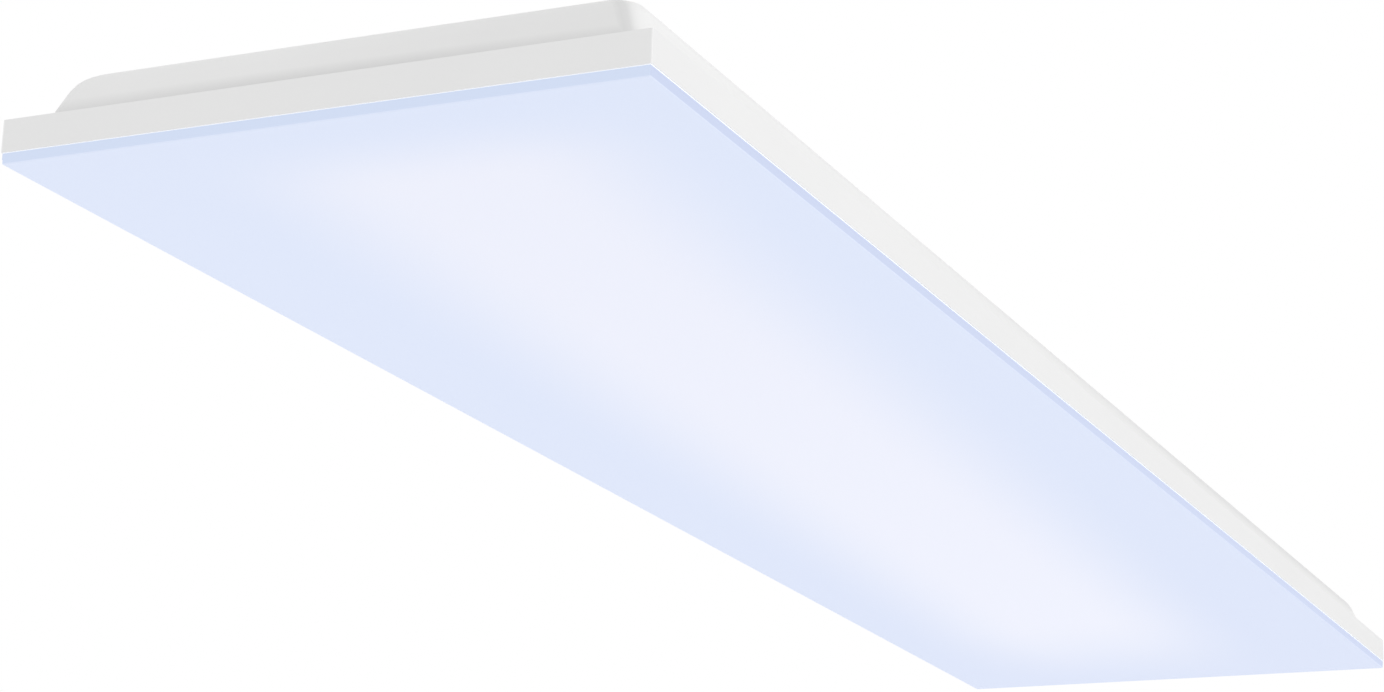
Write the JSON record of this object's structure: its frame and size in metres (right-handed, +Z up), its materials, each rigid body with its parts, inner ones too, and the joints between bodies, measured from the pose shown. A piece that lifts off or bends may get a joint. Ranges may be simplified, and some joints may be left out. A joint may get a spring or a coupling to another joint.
{
  "type": "led ceiling light",
  "caption": "Slim surface-mounted ceiling light: pressed steel tray, framed opal diffuser and light panel that swings down on hinges for wiring.",
  "frame": {"origin": "middle of the tray's flat top face, where it meets the ceiling", "axes": "+Z up into the ceiling, +X along the light's length, +Y across its width towards the hinged side"},
  "size_m": [1.197, 0.297, 0.046],
  "materials": {
    "tray_steel": "white powder coat, fine satin texture",
    "rail_aluminium": "white powder coat, fine satin texture",
    "plate_steel": "white coil-coated steel, satin",
    "white_steel_small": "white powder coat",
    "opal_diffuser": "satin opal acrylic, lit from behind",
    "zinc_steel": "bright zinc plate",
    "screw_steel": "zinc-plated",
    "pin_steel": "bright drawn steel",
    "spring_steel": "rolled spring steel",
    "grommet_rubber": "matt black rubber",
    "board_white": "white solder mask",
    "lens_clear": "clear acrylic",
    "driver_steel": "pale grey coated steel",
    "driver_plastic": "white moulded plastic",
    "circuit_board": "green solder mask",
    "component_plastic": "dark moulded parts",
    "connector_plastic": "white moulded plastic",
    "block_plastic": "pale grey moulded plastic",
    "lever_plastic": "dark grey moulded plastic",
    "holder_plastic": "natural moulded plastic",
    "brass_parts": "bright",
    "tinned_copper": "tinned",
    "live_insulation": "brown insulation",
    "neutral_insulation": "blue insulation",
    "earth_insulation": "green and yellow insulation",
    "plus_insulation": "red insulation",
    "minus_insulation": "black insulation"
  },
  "bodies": {
    "tray": {"cable_grommet": "grommet_rubber", "catch_keeper_1": "zinc_steel", "catch_keeper_2": "zinc_steel", "catch_stud_1": "pin_steel", "catch_stud_2": "pin_steel", "ceiling_tray": "tray_steel", "hinge_lug_1": "white_steel_small", "hinge_lug_2": "white_steel_small"},
    "panel": {"board_connectors": "connector_plastic", "board_links": "connector_plastic", "catch_clip_1": "spring_steel", "catch_clip_2": "spring_steel", "corner_keys": "zinc_steel", "diffuser": "opal_diffuser", "driver_board": "circuit_board", "driver_case": "driver_steel", "driver_components": "component_plastic", "driver_cover": "driver_plastic", "driver_input_connector": "connector_plastic", "driver_output_connector": "connector_plastic", "driver_screws": "screw_steel", "earth_lug": "tinned_copper", "earth_screw": "brass_parts", "frame_rail_far_end": "rail_aluminium", "frame_rail_front": "rail_aluminium", "frame_rail_hinge": "rail_aluminium", "frame_rail_near_end": "rail_aluminium", "gear_plate": "plate_steel", "hinge_ears_1": "white_steel_small", "hinge_ears_2": "white_steel_small", "hinge_pin_1": "pin_steel", "hinge_pin_2": "pin_steel", "lead_bush": "grommet_rubber", "lead_row_1_minus": "minus_insulation", "lead_row_1_plus": "plus_insulation", "lead_row_2_minus": "minus_insulation", "lead_row_2_plus": "plus_insulation", "led_board_1": "board_white", "led_board_2": "board_white", "led_board_3": "board_white", "led_board_4": "board_white", "led_lenses_1": "lens_clear", "led_lenses_2": "lens_clear", "led_lenses_3": "lens_clear", "led_lenses_4": "lens_clear", "plate_screws": "screw_steel", "terminal_block": "block_plastic", "wire_earth": "earth_insulation", "wire_holder": "holder_plastic", "wire_live": "live_insulation", "wire_neutral": "neutral_insulation"},
    "lever_1": {"terminal_lever_1": "lever_plastic"},
    "lever_2": {"terminal_lever_2": "lever_plastic"},
    "lever_3": {"terminal_lever_3": "lever_plastic"}
  },
  "joints": [
    {"name": "panel_swing", "type": "hinge", "parent": "tray", "child": "panel", "pos_m": [0, 0.1445, -0.0227], "axis": [1, 0, 0], "range_deg": [0, 90]},
    {"name": "lever_1_lift", "type": "hinge", "parent": "panel", "child": "lever_1", "pos_m": [0.064, -0.008, -0.0151], "axis": [0, -1, 0], "range_deg": [0, 90]},
    {"name": "lever_2_lift", "type": "hinge", "parent": "panel", "child": "lever_2", "pos_m": [0.064, 0, -0.0151], "axis": [0, -1, 0], "range_deg": [0, 90]},
    {"name": "lever_3_lift", "type": "hinge", "parent": "panel", "child": "lever_3", "pos_m": [0.064, 0.008, -0.0151], "axis": [0, -1, 0], "range_deg": [0, 90]}
  ]
}
